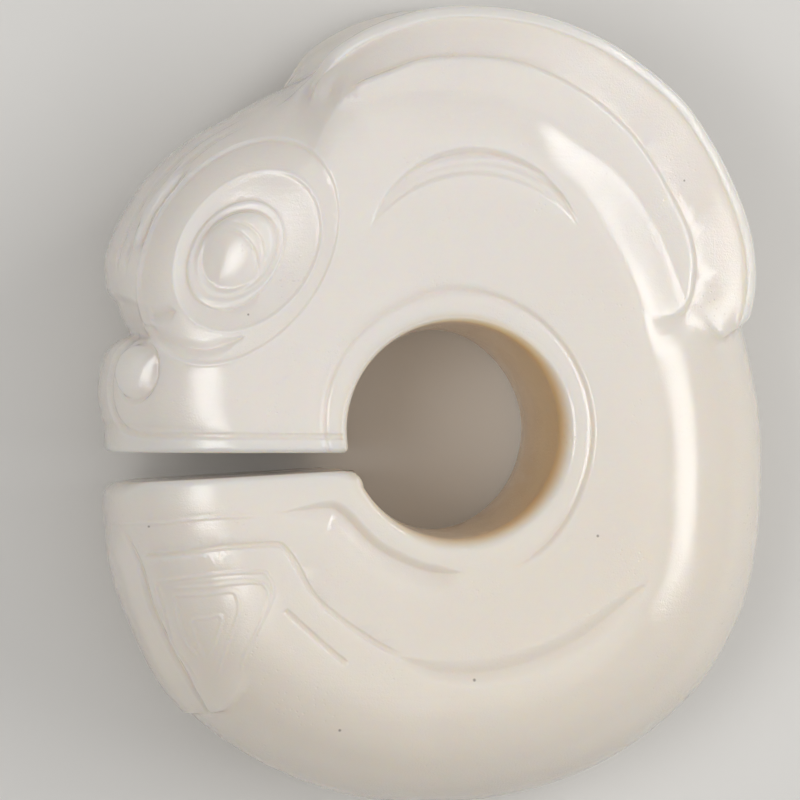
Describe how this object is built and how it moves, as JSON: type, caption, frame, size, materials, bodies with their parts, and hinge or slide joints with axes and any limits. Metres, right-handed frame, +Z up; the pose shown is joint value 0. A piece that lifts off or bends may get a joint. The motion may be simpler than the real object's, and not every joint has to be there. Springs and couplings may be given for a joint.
{
  "type": "jade pig dragon pendant",
  "caption": "C-shaped animal pendant carved from pale stone: a snouted head with long ears, a ring-shaped body and a bored hole for a cord.",
  "frame": {"origin": "centre of the overall box, on the surface that the pendant lies on", "axes": "+Z up through the thickness, out of the face that shows; +X from the snout to the back; +Y from the belly to the ears"},
  "size_m": [0.0462, 0.0553, 0.019],
  "materials": {
    "pig_dragon": "pale nephrite jade with a waxy polish"
  },
  "bodies": {
    "root": {"pig_dragon": "pig_dragon"}
  },
  "joints": []
}
